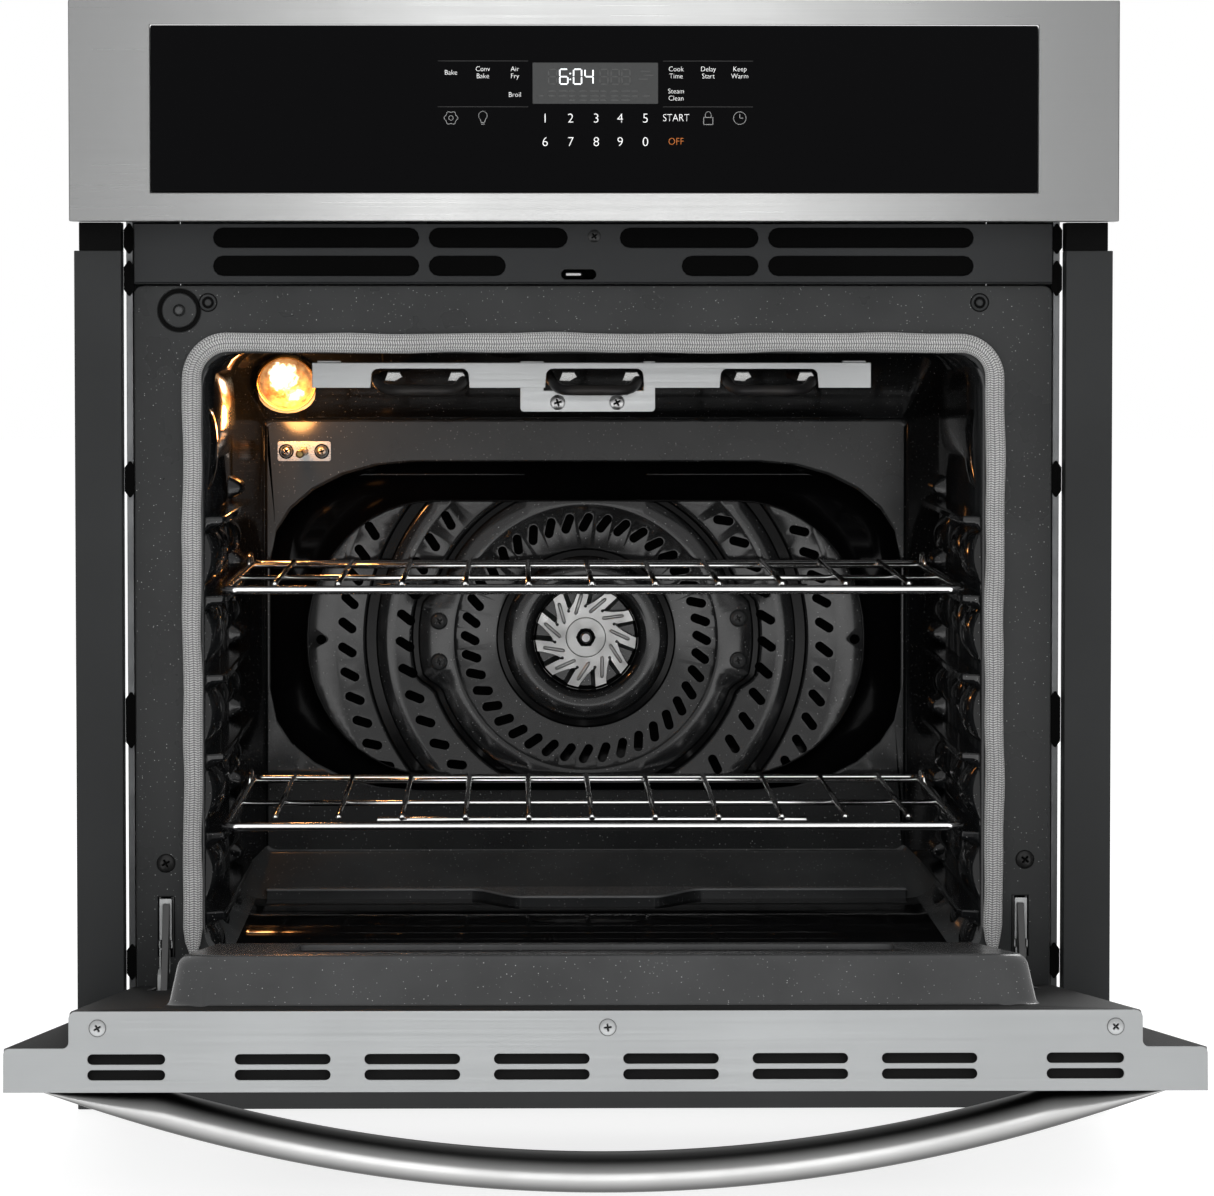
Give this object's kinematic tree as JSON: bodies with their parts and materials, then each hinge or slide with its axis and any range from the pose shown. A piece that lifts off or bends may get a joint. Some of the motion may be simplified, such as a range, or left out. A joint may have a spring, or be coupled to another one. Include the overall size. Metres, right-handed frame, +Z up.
{
  "type": "wall oven",
  "caption": "Built-in electric wall oven with a touch control panel, drop-down door, convection fan and wire racks.",
  "frame": {"origin": "centre of the chassis base's underside, which rests on the cabinet's shelf", "axes": "+Z up, the oven's front faces -Y, +X to the right seen from the front"},
  "size_m": [0.686, 1.1685, 0.731],
  "materials": {
    "brushed_steel": "fine horizontal brushed grain",
    "bright_steel": "bright plated steel",
    "galvanised": "galvanised sheet",
    "charcoal_paint": "matte charcoal paint",
    "grey_paint": "satin dark grey paint",
    "enamel": "glossy charcoal enamel with fine pale specks",
    "black_glass": "opaque black-backed glass",
    "dark_glass": "dark tinted glass",
    "light_steel": "light steel grey, satin",
    "chrome": "bright chrome wire",
    "fibreglass": "braided grey fibreglass rope",
    "heater_tube": "dark oxidised heater sheath",
    "ceramic": "off-white ceramic",
    "clear_glass": "clear glass, warm when lit",
    "black_plastic": "moulded black plastic",
    "circuit_green": "circuit board",
    "wool": "mineral wool",
    "brass": "brass"
  },
  "bodies": {
    "chassis": {"chassis_base": "galvanised", "chassis_top": "galvanised", "chassis_back": "galvanised", "chassis_left_side": "galvanised", "chassis_right_side": "galvanised", "lower_front_panel": "charcoal_paint", "side_trim_left": "charcoal_paint", "side_trim_right": "charcoal_paint", "bottom_trim": "charcoal_paint", "control_panel_frame": "brushed_steel", "control_glass": "black_glass", "display_module": "black_plastic", "control_board": "circuit_green", "panel_support": "galvanised", "vent_strip": "grey_paint", "latch_housing": "galvanised", "cavity_liner": "enamel", "cavity_front_frame": "enamel", "insulation_wrap": "wool", "door_gasket": "fibreglass", "fan_baffle": "enamel", "fan_motor": "galvanised", "broil_element": "heater_tube", "bake_element": "heater_tube", "broil_support_bar": "bright_steel", "broil_bracket_plate": "bright_steel", "light_socket": "ceramic", "light_lens": "clear_glass", "light_bulb": "clear_glass", "sensor_plate": "bright_steel", "sensor_probe": "brass", "switch_body": "black_plastic", "hinge_arm_left": "bright_steel", "hinge_arm_right": "bright_steel", "hinge_receiver_left": "bright_steel", "hinge_receiver_right": "bright_steel", "blower_housing": "galvanised", "blower_motor": "galvanised", "junction_box": "galvanised", "conduit_connector": "bright_steel"},
    "door": {"door_outer_skin": "brushed_steel", "door_window_glass": "dark_glass", "door_glass_retainer": "galvanised", "door_inner_liner": "enamel", "door_inner_glass": "dark_glass", "door_cap": "light_steel", "door_handle": "brushed_steel", "hinge_channel_left": "galvanised", "hinge_channel_right": "galvanised", "hinge_pin_left": "bright_steel", "hinge_pin_right": "bright_steel"},
    "upper_rack": {"upper_rack": "chrome"},
    "lower_rack": {"lower_rack": "chrome"},
    "fan": {"fan_impeller": "bright_steel", "fan_shaft": "bright_steel"},
    "blower": {"blower_wheel": "black_plastic"},
    "switch_pin": {"switch_plunger": "grey_paint"},
    "latch": {"latch_hook": "bright_steel"}
  },
  "joints": [
    {"name": "door_hinge", "type": "hinge", "parent": "chassis", "child": "door", "pos_m": [0, -0.3205, 0.06], "axis": [1, 0, 0], "range_deg": [-84.7, 0]},
    {"name": "upper_rack_slide", "type": "slide", "parent": "chassis", "child": "upper_rack", "axis": [0, -1, 0], "range_m": [0, 0.28]},
    {"name": "lower_rack_slide", "type": "slide", "parent": "chassis", "child": "lower_rack", "axis": [0, -1, 0], "range_m": [0, 0.28]},
    {"name": "fan_spin", "type": "hinge", "parent": "chassis", "child": "fan", "pos_m": [0, 0.165, 0.286], "axis": [0, -1, 0], "continuous": true},
    {"name": "blower_spin", "type": "hinge", "parent": "chassis", "child": "blower", "pos_m": [0, 0, 0.625], "axis": [1, 0, 0], "continuous": true},
    {"name": "light_switch_press", "type": "slide", "parent": "chassis", "child": "switch_pin", "axis": [0, 1, 0], "range_m": [0, 0.004], "stiffness_N_per_m": 300, "springref_m": -0.002},
    {"name": "latch_swing", "type": "hinge", "parent": "chassis", "child": "latch", "pos_m": [-0.01, -0.27, 0.5528], "axis": [0, 0, 1], "range_deg": [0, 22]}
  ]
}
